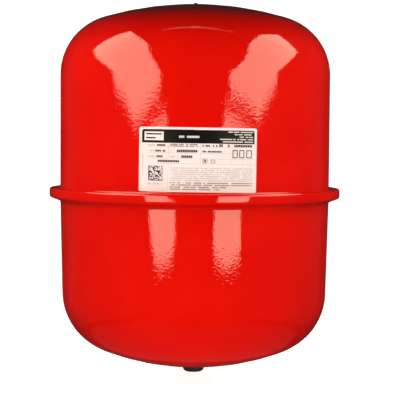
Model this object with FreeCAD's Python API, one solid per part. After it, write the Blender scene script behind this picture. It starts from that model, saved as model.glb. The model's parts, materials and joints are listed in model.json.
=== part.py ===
import FreeCAD
import Part
import os
from math import asin, cos, degrees, pi, radians, sin, sqrt, tan

# Closed heating expansion vessel, about 25 litres: two deep-drawn steel shells clenched
# together over a rubber diaphragm. Lengths are millimetres and angles are degrees.
# The origin is the centre of the water connection's end face, and +Z runs up the axis.

V = FreeCAD.Vector
ORIGIN = V(0, 0, 0)
UP = V(0, 0, 1)

# --- shells -------------------------------------------------------------------------
body_diameter = 300.0        # outside of both shells at the seam
seam_overhang = 12.0         # how far the clenched seam stands out from the shells
sheet = 1.2                  # steel thickness
upper_height = 209.3         # seam plane to the top dome's unbroken apex
lower_height = 193.0         # seam plane to the bottom dome's unbroken lowest point
upper_knuckle = 65.0
lower_knuckle = 67.0
upper_crown = 356.0
lower_crown = 282.0
upper_draft = 0.0
lower_draft = 1.3            # the lower wall draws in towards its dome

# --- pressed recesses: the valve's at the top, the water connection's at the bottom --
valve_floor_margin = 4.6     # room for a socket round the valve's nut
valve_recess_depth = 20.0
valve_recess_slope = 55.0
seat_floor_margin = 2.0      # flat left outside the nipple's weld
seat_recess_depth = 9.0
seat_recess_slope = 40.0
recess_rim = 8.0             # outer bend radius at a recess's edge
recess_foot = 5.0            # outer bend radius at a recess's floor

# --- clenched seam, heights from the seam plane ---------------------------------------
lip_top = 6.4
lip_gap = 2.6                # groove between the lip's edge and the upper shell
lip_corner = 2.4
face_bottom = -1.6           # where the upright face starts to turn under
under_corner = 3.2
under_slope = 20.0
wall_bend = 3.0
flange_edge_gap = 1.2        # between the upper shell's flange and the seam's outer wall
flange_bend = 2.0
clench_gap = 0.05

# --- diaphragm ------------------------------------------------------------------------
rubber = 2.5
rubber_gap = 0.5             # between the slack rubber and the lower shell
bead_side_gap = 0.3
bead_inset = 1.0             # bead's inner edge, out from the shells' outside
rim_bottom = -16.0           # heights from the seam plane
crown_inset = 5.0            # the rubber that moves as one piece ends inside the knuckle

# --- water connection: G 1/2 male -----------------------------------------------------
water_thread_diameter = 20.955
water_thread_pitch = 1.814
water_thread_depth = 1.162
water_bore = 15.0
connection_height = 6.3      # end face up to the bottom dome's lowest point
collar_step = 4.5            # collar stands out from the thread
collar_thickness = 2.6
thread_relief = 1.4
weld_leg = 2.4
weld_hollow = 0.42           # share of the leg out to the middle of its face
spigot_gap = 0.15

# --- thread protector -----------------------------------------------------------------
protector_wall = 1.2
protector_end = 2.0          # thickness of the closed end
protector_clearance = 0.12
protector_end_gap = 0.2
protector_inside_corner = 0.5
protector_reach = 9.4        # how far it covers the thread from the end face
protector_band_start = 4.4
protector_band = 0.6         # the ribbed band stands this far proud
protector_ribs = 24
protector_round = 4.0

# --- air valve ------------------------------------------------------------------------
tip_above_apex = 3.0         # dust cap's tip over the top dome's apex
tip_height = 3.0
tip_diameter = 3.8
tip_slot = 1.0
valve_thread_diameter = 7.7
valve_thread_pitch = 25.4 / 32
valve_thread_depth = 0.42
cap_wall = 1.25
cap_clearance = 0.1
cap_skirt = 6.0              # how far the cap's skirt comes down over the stem
cap_top = 1.2
cap_seal_thickness = 0.6
cap_seal_gap = 0.05
cap_ribs = 20
shank_diameter = 11.0
shank_above_nut = 0.8
shank_cone = 1.2
valve_hole_gap = 0.25
nut_wall = 2.5
nut_height = 5.0
washer_overhang = 1.0        # past the nut's flats
washer_thickness = 1.2
foot_overhang = 3.75         # past the shank
foot_thickness = 2.2
valve_gasket_thickness = 2.0

# --- valve core -----------------------------------------------------------------------
core_bore = 4.2              # lower bore of the stem
core_top_bore = 5.4          # threaded top of the bore
core_top_bore_depth = 4.6
core_gap = 0.1
core_plug_drop = 0.5         # below the stem's end
core_plug_height = 3.2
core_plug_hole = 1.9
core_seal_height = 1.0
core_barrel_diameter = 3.6
core_barrel_inside = 2.7
core_barrel_length = 6.2
core_guide_thickness = 0.8
core_guide_hole = 1.5
core_pin_diameter = 1.2
core_pin_drop = 0.3          # pin's top below the stem's end
core_collar_diameter = 2.3
core_collar_thickness = 0.5
core_cup_diameter = 3.2
core_cup_thickness = 1.2
core_pin_tail = 1.2
core_spring_wire = 0.22
core_spring_turns = 5

# --- rating label ---------------------------------------------------------------------
label_left = 56.4            # edges from the vessel's middle, seen from the front
label_right = 62.6
label_bottom = 7.6           # from the seam plane
label_top = 72.8
label_corner = 2.0
label_film = 0.18
label_adhesive = 0.02
label_tilt = 0.6             # glued a little clockwise

# --- places that follow ---------------------------------------------------------------
body_radius = body_diameter / 2
seam_radius = body_radius + seam_overhang
lip_inner_radius = body_radius + lip_gap
flange_radius = seam_radius - sheet - flange_edge_gap
bead_inner_radius = body_radius + bead_inset
collar_radius = water_thread_diameter / 2 + collar_step
nut_flat_radius = shank_diameter / 2 + nut_wall
nut_corner_radius = nut_flat_radius / cos(pi / 6)
washer_radius = nut_flat_radius + washer_overhang
foot_radius = shank_diameter / 2 + foot_overhang
seam_z = connection_height + lower_height
apex_z = seam_z + upper_height
seat_z = connection_height + seat_recess_depth
floor_z = apex_z - valve_recess_depth
tip_z = apex_z + tip_above_apex
cap_top_z = tip_z - tip_height
stem_top_z = cap_top_z - cap_top - cap_seal_thickness - cap_seal_gap


# --- tools for profiles ---------------------------------------------------------------
def at(radius, height):
    return V(radius, 0, height)


def spin(wire_edges):
    """Solid made by turning a closed outline of edges about the axis."""
    wire = Part.Wire(Part.__sortEdges__(wire_edges))
    solid = Part.Face(wire).revolve(ORIGIN, UP, 360)
    if solid.Volume < 0:
        solid.reverse()
    return solid


def spin_points(points):
    """Solid turned from a closed outline of (radius, height) corners."""
    outline = Part.makePolygon([at(*p) for p in points] + [at(*points[0])])
    return spin(outline.Edges)


def ring(inner, outer, bottom, top):
    return spin_points([(inner, bottom), (outer, bottom), (outer, top), (inner, top)])


class SheetLine:
    """Outer line of a formed sheet, in the half plane of radius and height.

    It is walked in straight runs and tangent bends. parallel(d) is the same line moved
    d to the left of the walk, so a wall of sheet lies between two parallels.
    """

    def __init__(self, radius, height, heading):
        self.radius, self.height, self.heading = radius, height, heading
        self.steps = []

    def run(self, length):
        self.steps.append((self.radius, self.height, self.heading, length, None))
        self.radius += length * cos(radians(self.heading))
        self.height += length * sin(radians(self.heading))
        return self

    def bend(self, bend_radius, turn):
        """Arc that turns the walk by turn degrees, positive to the left."""
        self.steps.append((self.radius, self.height, self.heading, bend_radius, turn))
        side = 1 if turn > 0 else -1
        start, end = radians(self.heading), radians(self.heading + turn)
        self.radius += side * bend_radius * (sin(end) - sin(start))
        self.height -= side * bend_radius * (cos(end) - cos(start))
        self.heading += turn
        return self

    def parallel(self, shift):
        edges = []
        for radius, height, heading, size, turn in self.steps:
            h = radians(heading)
            start = at(radius - shift * sin(h), height + shift * cos(h))
            if turn is None:
                end = start + at(size * cos(h), size * sin(h))
                edges.append(Part.LineSegment(start, end).toShape())
                continue
            side = 1 if turn > 0 else -1
            centre = at(radius - side * size * sin(h), height + side * size * cos(h))
            reach = side * (size - side * shift)
            ends = [centre + at(reach * sin(a), -reach * cos(a))
                    for a in (h, h + radians(turn / 2), h + radians(turn))]
            edges.append(Part.Arc(*ends).toShape())
        return edges

    def wall(self, near, far):
        """Solid between the parallels at near and far."""
        a, b = self.parallel(near), self.parallel(far)
        first = Part.LineSegment(a[0].firstVertex(True).Point, b[0].firstVertex(True).Point)
        last = Part.LineSegment(a[-1].lastVertex(True).Point, b[-1].lastVertex(True).Point)
        return spin(a + b + [first.toShape(), last.toShape()])


def dome_joints(height, knuckle, crown, draft):
    """Where a shell's wall meets its knuckle, and the slope where knuckle meets crown.

    Heights here grow from the seam plane towards the dome, for either shell.
    """
    crown_centre = height - crown
    wall_end = crown_centre
    for _ in range(30):
        wall_radius = body_radius - wall_end * tan(radians(draft))
        centre_radius = wall_radius - knuckle * cos(radians(draft))
        centre_height = crown_centre + sqrt((crown - knuckle) ** 2 - centre_radius ** 2)
        wall_end = centre_height + knuckle * sin(radians(draft))
    slope = degrees(asin(centre_radius / (crown - knuckle)))
    return wall_end, slope


def recess_shape(crown, floor_radius, depth, slope):
    """Radius of a recess's edge, its side's straight run, and the crown's slope there."""
    side = radians(slope)
    edge = floor_radius
    for _ in range(30):
        edge_slope = asin(edge / crown)
        fall = depth - crown * (1 - cos(edge_slope))
        fall += recess_rim * (cos(side) - cos(edge_slope)) - recess_foot * (1 - cos(side))
        run = fall / sin(side)
        edge = floor_radius + recess_foot * sin(side) + run * cos(side)
        edge += recess_rim * (sin(side) + sin(edge_slope))
    return run, degrees(edge_slope)


def add_recess(line, shape, slope, side, hole_radius):
    """Carry a walk from the recess's edge over its rim and floor to the hole."""
    run, edge_slope = shape
    line.bend(recess_rim, side * (edge_slope + slope)).run(run)
    line.bend(recess_foot, -side * slope)
    line.run(line.radius - hole_radius)


upper_wall_end, upper_slope = dome_joints(
    upper_height, upper_knuckle, upper_crown, upper_draft)
lower_wall_end, lower_slope = dome_joints(
    lower_height, lower_knuckle, lower_crown, lower_draft)
valve_recess = recess_shape(upper_crown, nut_corner_radius + valve_floor_margin,
                            valve_recess_depth, valve_recess_slope)
seat_recess = recess_shape(lower_crown, collar_radius + weld_leg + seat_floor_margin,
                           seat_recess_depth, seat_recess_slope)
crown_radius = lower_crown * sin(radians(lower_slope)) - crown_inset
crown_slope = degrees(asin(crown_radius / lower_crown))
rubber_near = -(sheet + rubber_gap)
rubber_far = rubber_near - rubber
flange_top_z = seam_z + lip_top - sheet - clench_gap
valve_hole_radius = shank_diameter / 2 + valve_hole_gap
spigot_radius = water_thread_diameter / 2
connection_hole_radius = spigot_radius + spigot_gap


# --- shells ---------------------------------------------------------------------------
def upper_shell():
    """Gas-side shell: flange, wall, knuckle, crown and the valve's recess."""
    line = SheetLine(flange_radius, flange_top_z, 180)
    line.run(flange_radius - body_radius - flange_bend).bend(flange_bend, -90)
    line.run(seam_z + upper_wall_end - line.height)
    line.bend(upper_knuckle, 90 - upper_slope)
    line.bend(upper_crown, upper_slope - valve_recess[1])
    add_recess(line, valve_recess, valve_recess_slope, 1, valve_hole_radius)
    return line.wall(0, sheet)


wall_bend_turn = 90 - under_slope - lower_draft


def seam_walk():
    """Lower shell's outer line over the lip and round the seam, up to the wall's bend."""
    line = SheetLine(lip_inner_radius, seam_z + lip_top, 0)
    line.run(seam_radius - lip_corner - lip_inner_radius).bend(lip_corner, -90)
    line.run(line.height - seam_z - face_bottom)
    line.bend(under_corner, -(90 - under_slope))
    bend_reach = wall_bend * (cos(radians(lower_draft)) - sin(radians(under_slope)))
    wall_there = body_radius + tan(radians(lower_draft)) * (line.height - seam_z)
    line.run((line.radius - wall_there - bend_reach) / cos(radians(under_slope)))
    return line


def lower_shell():
    """Water-side shell, with its edge flared, turned up and clenched over the flange."""
    line = seam_walk().bend(wall_bend, wall_bend_turn)
    end_height = seam_z - lower_wall_end
    line.run((line.height - end_height) / cos(radians(lower_draft)))
    line.bend(lower_knuckle, -(90 - lower_slope - lower_draft))
    line.bend(lower_crown, -(lower_slope - seat_recess[1]))
    add_recess(line, seat_recess, seat_recess_slope, -1, connection_hole_radius)
    return line.wall(0, -sheet)


# --- diaphragm ------------------------------------------------------------------------
def rim_line():
    """Line from the seam's wall bend down to where the rubber begins to roll."""
    walk = seam_walk()
    line = SheetLine(walk.radius, walk.height, walk.heading)
    line.bend(wall_bend, wall_bend_turn)
    return line.run((line.height - seam_z - rim_bottom) / cos(radians(lower_draft)))


def diaphragm_rim():
    """Thick bead clenched in the seam, and the short skirt that leaves it."""
    walk = seam_walk()
    slope = radians(under_slope)
    lift = sheet + clench_gap
    floor_r = walk.radius - lift * sin(slope)
    floor_z = walk.height + lift * cos(slope)
    middle = sheet + rubber_gap + rubber / 2
    root = (walk.radius - middle * sin(slope), walk.height + middle * cos(slope))
    outer = flange_radius - bead_side_gap
    bead_top = flange_top_z - sheet - clench_gap
    wall_top = walk.bend(wall_bend, wall_bend_turn)
    inner = wall_top.radius + rubber_far
    bead = spin_points([
        (floor_r, floor_z), (outer, floor_z + (outer - floor_r) * tan(slope)),
        (outer, bead_top), (bead_inner_radius + flange_bend, bead_top),
        (inner, seam_z - rubber), (inner, wall_top.height), root])
    return bead.fuse(rim_line().wall(rubber_near, rubber_far)).removeSplitter()


def diaphragm_skirt():
    """The rubber that rolls as the crown rises: down the wall and round the knuckle."""
    top = rim_line()
    line = SheetLine(top.radius, top.height, top.heading)
    line.run((line.height - seam_z + lower_wall_end) / cos(radians(lower_draft)))
    line.bend(lower_knuckle, -(90 - lower_slope - lower_draft))
    line.bend(lower_crown, -(lower_slope - crown_slope))
    return line.wall(rubber_near, rubber_far)


def diaphragm_crown():
    """The middle of the rubber, which lies on the bottom dome and rises as water comes in."""
    height = connection_height + lower_crown * (1 - cos(radians(crown_slope)))
    line = SheetLine(crown_radius, height, -(180 - crown_slope))
    line.bend(lower_crown, -(crown_slope - seat_recess[1]))
    add_recess(line, seat_recess, seat_recess_slope, -1, 0)
    return line.wall(rubber_near, rubber_far)


# --- water connection -----------------------------------------------------------------
def grooved_outline(radius, depth, pitch, bottom, top):
    """Corners of a thread's side, as level grooves from bottom up to top."""
    count = int((top - bottom) / pitch)
    crest = pitch / 4
    points = []
    for i in range(count):
        z = bottom + i * pitch
        points += [(radius - depth, z), (radius, z + pitch / 2 - crest / 2),
                   (radius, z + pitch / 2 + crest / 2)]
    points.append((radius - depth, bottom + count * pitch))
    return points


def connection_nipple():
    """Machined nipple: thread, collar against the seat, and a spigot through the shell."""
    bore = water_bore / 2
    root = water_thread_diameter / 2 - water_thread_depth
    collar_bottom = seat_z - collar_thickness
    relief = collar_bottom - thread_relief
    thread = grooved_outline(water_thread_diameter / 2, water_thread_depth,
                             water_thread_pitch, 0, relief)
    return spin_points(
        [(bore, 0)] + thread
        + [(root, collar_bottom), (collar_radius, collar_bottom), (collar_radius, seat_z),
           (spigot_radius, seat_z), (spigot_radius, seat_z + sheet), (bore, seat_z + sheet)])


def nipple_weld():
    """Fillet weld round the collar, with a slightly hollow face."""
    corner = at(collar_radius, seat_z)
    low, out = corner + at(0, -weld_leg), corner + at(weld_leg, 0)
    hollow = corner + at(weld_leg * weld_hollow, -weld_leg * weld_hollow)
    return spin([Part.LineSegment(corner, low).toShape(), Part.Arc(low, hollow, out).toShape(),
                 Part.LineSegment(out, corner).toShape()])


def thread_protector():
    """Pull-off cap over the thread: rounded closed end and a ribbed band at its mouth."""
    inner = water_thread_diameter / 2 + protector_clearance
    outer = inner + protector_wall
    end = -protector_end_gap - protector_end
    corner = protector_inside_corner
    band = outer + protector_band
    r = protector_round
    low, side = at(outer - r, end), at(outer, end + r)
    round_middle = at(outer - r + r * sin(pi / 4), end + r - r * cos(pi / 4))
    corners = [at(outer, end + r), at(outer, protector_band_start),
               at(band, protector_band_start + protector_band),
               at(band, protector_reach), at(inner, protector_reach),
               at(inner, -protector_end_gap + corner),
               at(inner - corner, -protector_end_gap), at(0, -protector_end_gap),
               at(0, end), low]
    edges = [Part.LineSegment(a, b).toShape() for a, b in zip(corners, corners[1:])]
    cap = spin(edges + [Part.Arc(low, round_middle, side).toShape()])
    rib_height = protector_reach - protector_band_start - protector_band
    grooves = []
    for i in range(protector_ribs):
        groove = Part.makeCylinder(protector_band * 0.9, rib_height + 1,
                                   at(band + protector_band * 0.4,
                                      protector_band_start + protector_band))
        groove.rotate(ORIGIN, UP, 360 * i / protector_ribs)
        grooves.append(groove)
    return cap.cut(Part.makeCompound(grooves))


# --- air valve ------------------------------------------------------------------------
def valve_stem():
    """Brass stem: foot inside the shell, shank through it, threaded neck and stepped bore."""
    foot_bottom = floor_z - sheet - valve_gasket_thickness - foot_thickness
    foot_top = foot_bottom + foot_thickness
    shank_top = floor_z + washer_thickness + nut_height + shank_above_nut
    shank, neck = shank_diameter / 2, valve_thread_diameter / 2
    root = neck - valve_thread_depth
    thread_bottom = shank_top + shank_cone
    thread = grooved_outline(neck, valve_thread_depth, valve_thread_pitch,
                             thread_bottom, stem_top_z)
    bore, top_bore = core_bore / 2, core_top_bore / 2
    step_z = stem_top_z - core_top_bore_depth
    return spin_points(
        [(bore, foot_bottom), (foot_radius, foot_bottom), (foot_radius, foot_top),
         (shank, foot_top), (shank, shank_top), (root, thread_bottom - core_gap)] + thread
        + [(root, stem_top_z), (top_bore, stem_top_z), (top_bore, step_z),
           (bore, step_z - core_seal_height)])


def valve_gasket():
    bottom = floor_z - sheet - valve_gasket_thickness
    return ring(shank_diameter / 2 + core_gap, foot_radius - core_gap,
                bottom, floor_z - sheet)


def valve_washer():
    return ring(shank_diameter / 2 + valve_hole_gap, washer_radius,
                floor_z, floor_z + washer_thickness)


def valve_nut():
    """Hexagon nut with both ends chamfered."""
    bottom = floor_z + washer_thickness
    corner, flat = nut_corner_radius, nut_flat_radius
    hexagon = [V(corner * cos(i * pi / 3), corner * sin(i * pi / 3), bottom) for i in range(7)]
    prism = Part.Face(Part.makePolygon(hexagon)).extrude(V(0, 0, nut_height))
    cut = (corner - flat) * tan(radians(30))
    blank = spin_points([(0, bottom), (flat, bottom), (corner, bottom + cut),
                         (corner, bottom + nut_height - cut), (flat, bottom + nut_height),
                         (0, bottom + nut_height)])
    hole = Part.makeCylinder(shank_diameter / 2 + clench_gap, nut_height, V(0, 0, bottom))
    return prism.common(blank).cut(hole)


def dust_cap():
    """Screw cap with a ribbed skirt and a slotted tip, which is the core's key."""
    inner = valve_thread_diameter / 2 + cap_clearance
    outer = inner + cap_wall
    bottom = stem_top_z - cap_skirt
    inside_top = cap_top_z - cap_top
    tip = tip_diameter / 2
    shoulder = 0.8
    cap = spin_points([
        (inner, bottom), (outer, bottom), (outer, cap_top_z - shoulder),
        (outer - shoulder, cap_top_z), (tip + shoulder, cap_top_z),
        (tip, cap_top_z + shoulder), (tip, tip_z - shoulder / 2),
        (tip - shoulder / 2, tip_z), (0, tip_z), (0, inside_top), (inner, inside_top)])
    slot = Part.makeBox(tip_diameter * 2, tip_slot, tip_height * 0.6,
                        V(-tip_diameter, -tip_slot / 2, tip_z - tip_height * 0.6))
    grooves = [slot]
    for i in range(cap_ribs):
        groove = Part.makeCylinder(0.35, cap_skirt, at(outer + 0.1, bottom))
        groove.rotate(ORIGIN, UP, 360 * (i + 0.5) / cap_ribs)
        grooves.append(groove)
    return cap.cut(Part.makeCompound(grooves))


def dust_cap_seal():
    top = cap_top_z - cap_top - cap_seal_gap / 2
    radius = valve_thread_diameter / 2 - cap_clearance
    return Part.makeCylinder(radius, top - stem_top_z - cap_seal_gap / 2,
                             V(0, 0, stem_top_z + cap_seal_gap / 2))


# --- valve core -----------------------------------------------------------------------
plug_top_z = stem_top_z - core_plug_drop
plug_bottom_z = plug_top_z - core_plug_height
barrel_bottom_z = plug_bottom_z - core_barrel_length
guide_top_z = barrel_bottom_z + core_guide_thickness
collar_top_z = plug_bottom_z - core_gap
collar_bottom_z = collar_top_z - core_collar_thickness


def core_plug():
    """Threaded head that holds the core in the stem, with two flats for the key."""
    radius = core_top_bore / 2 - core_gap
    thread = grooved_outline(radius, 0.2, 25.4 / 36, plug_bottom_z, plug_top_z)
    hole = core_plug_hole / 2
    plug = spin_points([(hole, plug_bottom_z)] + thread
                       + [(radius - 0.2, plug_top_z), (hole, plug_top_z)])
    flat = tip_slot * 2
    key = Part.makeBox(4 * radius, 4 * radius, core_plug_height / 2,
                       V(-2 * radius, flat / 2, plug_top_z - core_plug_height / 2))
    other = key.mirror(ORIGIN, V(0, 1, 0))
    return plug.cut(Part.makeCompound([key, other]))


def core_barrel():
    """Tube under the plug, with a guide ring for the pin at its lower end."""
    outer, inner = core_barrel_diameter / 2, core_barrel_inside / 2
    guide = core_guide_hole / 2
    return spin_points([(guide, barrel_bottom_z), (outer, barrel_bottom_z),
                        (outer, plug_bottom_z), (inner, plug_bottom_z),
                        (inner, guide_top_z), (guide, guide_top_z)])


def core_seal():
    """Soft collar on the barrel that presses on the step in the stem's bore."""
    step_z = stem_top_z - core_top_bore_depth
    inner = core_barrel_diameter / 2 + core_gap / 4
    bottom = step_z - core_seal_height
    return spin_points([(inner, bottom), (core_bore / 2 - core_gap / 4, bottom),
                        (core_top_bore / 2 - core_gap, step_z), (core_top_bore / 2 - core_gap,
                        plug_bottom_z), (inner, plug_bottom_z)])


def core_pin():
    """Pin that opens the valve when pressed, with a collar for the spring."""
    radius, collar = core_pin_diameter / 2, core_collar_diameter / 2
    top = stem_top_z - core_pin_drop
    tail = barrel_bottom_z - core_cup_thickness - core_pin_tail
    return spin_points([(0, tail), (radius, tail), (radius, collar_bottom_z),
                        (collar, collar_bottom_z), (collar, collar_top_z),
                        (radius, collar_top_z), (radius, top), (0, top)])


def core_cup():
    """Sealing cup held up against the barrel's end by the spring."""
    top = barrel_bottom_z - core_gap / 10
    return ring(core_pin_diameter / 2, core_cup_diameter / 2, top - core_cup_thickness, top)


def core_spring():
    """Coil spring of eight-sided wire between the guide ring and the pin's collar."""
    wire = core_spring_wire / 2
    radius = (core_barrel_inside + core_pin_diameter) / 4
    bottom = guide_top_z + wire + core_gap / 2
    height = collar_bottom_z - wire - core_gap / 2 - bottom
    helix = Part.makeHelix(height / core_spring_turns, height, radius)
    corners = [V(radius + wire * cos(pi * (i + 0.5) / 4), 0, wire * sin(pi * (i + 0.5) / 4))
               for i in range(8)]
    section = Part.makePolygon(corners + corners[:1])
    coil = Part.Wire(helix).makePipeShell([section], True, True)
    coil.translate(V(0, 0, bottom))
    return coil


# --- rating label ---------------------------------------------------------------------
def vessel_label():
    """Thin film on the front of the upper shell: a rounded rectangle wrapped round it."""
    inner = body_radius + label_adhesive
    outer = inner + label_film
    width, height = label_left + label_right, label_top - label_bottom
    middle = V((label_right - label_left) / 2, 0, seam_z + (label_bottom + label_top) / 2)
    tube = ring(inner, outer, seam_z + label_bottom - label_corner,
                seam_z + label_top + label_corner)
    outline = Part.makeBox(width, outer, height,
                           V(middle.x - width / 2, -outer, middle.z - height / 2))
    uprights = [e for e in outline.Edges if abs(e.firstVertex().Y - e.lastVertex().Y) > 1]
    outline = outline.makeFillet(label_corner, uprights)
    outline.rotate(middle, V(0, 1, 0), label_tilt)
    return tube.common(outline)


parts = {
    "upper_shell": upper_shell, "lower_shell": lower_shell,
    "diaphragm_rim": diaphragm_rim, "diaphragm_skirt": diaphragm_skirt,
    "diaphragm_crown": diaphragm_crown, "connection_nipple": connection_nipple,
    "nipple_weld": nipple_weld, "thread_protector": thread_protector,
    "valve_stem": valve_stem, "valve_gasket": valve_gasket, "valve_washer": valve_washer,
    "valve_nut": valve_nut, "dust_cap": dust_cap, "dust_cap_seal": dust_cap_seal,
    "core_plug": core_plug, "core_barrel": core_barrel, "core_seal": core_seal,
    "core_pin": core_pin, "core_cup": core_cup, "core_spring": core_spring,
    "vessel_label": vessel_label,
}

os.makedirs("parts", exist_ok=True)
for name, build in parts.items():
    shape = build()
    box = shape.BoundBox
    shape.exportStep(f"parts/{name}.step")
    print(f"{name:18s} {shape.ShapeType:9s} valid {shape.isValid()} solids {len(shape.Solids)} "
          f"volume {shape.Volume:10.1f}  z {box.ZMin:7.2f} to {box.ZMax:7.2f}  r {box.XMax:6.2f}")
print("cap rise per turn", round(valve_thread_pitch, 4))
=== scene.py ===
# %% [markdown]
# # A red heating expansion vessel
# Two deep-drawn steel shells hold a rubber diaphragm between them. The CAD model fixes every
# size and every joint, and this lesson adds the looks: thick glossy red coating, a printed
# label, moulded black caps and plated metal. The scene is in metres, in the CAD frame, with its
# origin at the end of the water connection and +Z up. The vessel's own sizes are written in
# millimetres, and the studio's in metres.

# %% Load the frame
import json
from math import asin, cos, pi, radians, sin, sqrt, tan

import bpy
import numpy as np
from mathutils import Matrix, Vector


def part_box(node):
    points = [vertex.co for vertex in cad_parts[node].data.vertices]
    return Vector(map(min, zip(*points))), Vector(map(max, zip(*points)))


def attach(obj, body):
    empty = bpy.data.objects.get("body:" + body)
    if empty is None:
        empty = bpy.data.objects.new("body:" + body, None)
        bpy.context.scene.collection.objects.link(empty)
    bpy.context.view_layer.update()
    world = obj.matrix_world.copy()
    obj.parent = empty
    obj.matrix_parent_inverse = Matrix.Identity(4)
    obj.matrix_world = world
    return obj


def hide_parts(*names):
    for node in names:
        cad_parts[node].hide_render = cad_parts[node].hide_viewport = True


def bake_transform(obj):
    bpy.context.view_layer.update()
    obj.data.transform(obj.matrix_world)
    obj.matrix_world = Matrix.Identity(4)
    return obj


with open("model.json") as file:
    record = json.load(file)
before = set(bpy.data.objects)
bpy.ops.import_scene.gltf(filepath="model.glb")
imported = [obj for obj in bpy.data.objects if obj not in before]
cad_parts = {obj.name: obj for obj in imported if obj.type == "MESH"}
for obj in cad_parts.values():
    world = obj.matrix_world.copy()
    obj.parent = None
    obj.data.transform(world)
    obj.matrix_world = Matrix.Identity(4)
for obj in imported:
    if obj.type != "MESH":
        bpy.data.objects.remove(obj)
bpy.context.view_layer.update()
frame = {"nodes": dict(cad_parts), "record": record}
MM = 0.001

# %% [markdown]
# ## Sizes
# The places come from the boxes of the CAD nodes. Only what a box can't tell, such as a bend's
# radius, is named here, with the values the vessel is drawn to.

# %% Sizes, in millimetres
def box_mm(node):
    """Lowest and highest corner of a CAD node's box."""
    return [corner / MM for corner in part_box(node)]


lower_high = box_mm("lower_shell")[1]
nipple_high = box_mm("connection_nipple")[1]
nut_high = box_mm("valve_nut")[1]

SHEET = 1.2
SEAM_RADIUS = lower_high.x
SEAM_OVERHANG = 12.0
BODY_RADIUS = SEAM_RADIUS - SEAM_OVERHANG
LIP_TOP = 6.4
SEAM_Z = lower_high.z - LIP_TOP
UPPER = dict(height=209.3, knuckle=65.0, crown=356.0, draft=0.0)
LOWER = dict(height=193.0, knuckle=67.0, crown=282.0, draft=1.3)
print("seam at", round(SEAM_Z, 2), "mm, radius", round(SEAM_RADIUS, 2))

# %% [markdown]
# ## Surfaces from numbers
# Each new piece is a grid of points worked out with numpy. A profile turned about the axis is
# the commonest one, because a drawn shell is round. The mesh goes in with foreach_set, which
# takes whole arrays and needs no loop over vertices.

# %% Grids and lathes
def new_piece(name, points, quads, sharp=35.0):
    """Mesh object from an (n, 3) array in millimetres and an (m, 4) array of corners.

    A quad whose last two corners are the same is a triangle.
    """
    mesh = bpy.data.meshes.new(name)
    triangle = quads[:, 2] == quads[:, 3]
    sizes = np.where(triangle, 3, 4)
    loops = np.concatenate([np.full((len(quads), 3), True), ~triangle[:, None]], axis=1)
    corners = quads[loops]
    starts = np.concatenate([[0], np.cumsum(sizes)[:-1]])
    mesh.vertices.add(len(points))
    mesh.vertices.foreach_set("co", (points * MM).astype(np.float32).ravel())
    mesh.loops.add(len(corners))
    mesh.loops.foreach_set("vertex_index", corners.astype(np.int32))
    mesh.polygons.add(len(quads))
    mesh.polygons.foreach_set("loop_start", starts.astype(np.int32))
    mesh.polygons.foreach_set("use_smooth", np.ones(len(quads), dtype=bool))
    mesh.update(calc_edges=True)
    mesh.validate()
    mesh.set_sharp_from_angle(angle=radians(sharp))
    piece = bpy.data.objects.new(name, mesh)
    bpy.context.scene.collection.objects.link(piece)
    return piece


def grid_quads(rows, columns, wrap_rows=False, wrap_columns=False):
    """Corner numbers of the quads of a rows x columns grid of points."""
    i = np.arange(rows if wrap_rows else rows - 1)[:, None]
    j = np.arange(columns if wrap_columns else columns - 1)[None, :]
    down, across = (i + 1) % rows, (j + 1) % columns
    corners = [i * columns + j, i * columns + across, down * columns + across,
               down * columns + j]
    return np.stack([np.broadcast_to(c, (i.size, j.size)) for c in corners], -1).reshape(-1, 4)


def turned(name, profile, around=256, closed=True, shape=None, sharp=35.0):
    """Surface of revolution of an (n, 2) profile of radius and height.

    shape(radius, height, angle) may return other radii and heights, for what isn't quite
    round. A profile that is closed makes a ring, and one that isn't starts and ends on the
    axis.
    """
    angle = np.linspace(0, 2 * pi, around, endpoint=False)[None, :]
    radius = np.repeat(profile[:, :1], around, axis=1)
    height = np.repeat(profile[:, 1:], around, axis=1)
    if shape is not None:
        radius, height = shape(radius, height, np.repeat(angle, len(profile), axis=0))
    points = np.stack([radius * np.cos(angle), radius * np.sin(angle), height], -1)
    quads = grid_quads(len(profile), around, wrap_rows=closed, wrap_columns=True)
    if closed:
        return new_piece(name, points.reshape(-1, 3), quads, sharp)
    # The first and last rows are on the axis, so each becomes one point.
    flat = points.reshape(-1, 3)
    inner = flat[around:-around]
    ends = np.array([flat[0], flat[-1]])
    merged = np.concatenate([ends[:1], inner, ends[1:]])
    last = len(merged) - 1
    quads = np.clip(quads - around + 1, 0, last)
    first = (quads[:, 0] == 0) & (quads[:, 1] == 0)
    quads[first] = quads[first][:, [2, 3, 0, 0]]
    return new_piece(name, merged, quads, sharp)


def walk(start, heading, steps, spacing=3.0, bend_step=4.0):
    """Points and left-hand normals along straight runs and tangent bends.

    A run is ("run", length) and a bend is ("bend", radius, turn), with the turn in degrees,
    positive to the left. The same walk as the CAD sheet, sampled.
    """
    r, z = start
    h = radians(heading)
    points, normals = [], []
    for kind, size, *turn in steps:
        if kind == "run":
            t = np.linspace(0, size, max(2, int(size / spacing) + 1))
            points.append(np.stack([r + t * cos(h), z + t * sin(h)], -1))
            normals.append(np.repeat([[-sin(h), cos(h)]], len(t), axis=0))
            r, z = points[-1][-1]
            continue
        side = 1 if turn[0] > 0 else -1
        a = h + np.linspace(0, radians(turn[0]), max(4, int(abs(turn[0]) / bend_step) + 2))
        centre = np.array([r - side * size * sin(h), z + side * size * cos(h)])
        points.append(centre + side * size * np.stack([np.sin(a), -np.cos(a)], -1))
        normals.append(np.stack([-np.sin(a), np.cos(a)], -1))
        r, z = points[-1][-1]
        h = a[-1]
    points, normals = np.concatenate(points), np.concatenate(normals)
    step = np.linalg.norm(np.diff(points, axis=0), axis=1)
    keep = np.concatenate([[True], step > 1e-6])
    return points[keep], normals[keep]


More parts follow.
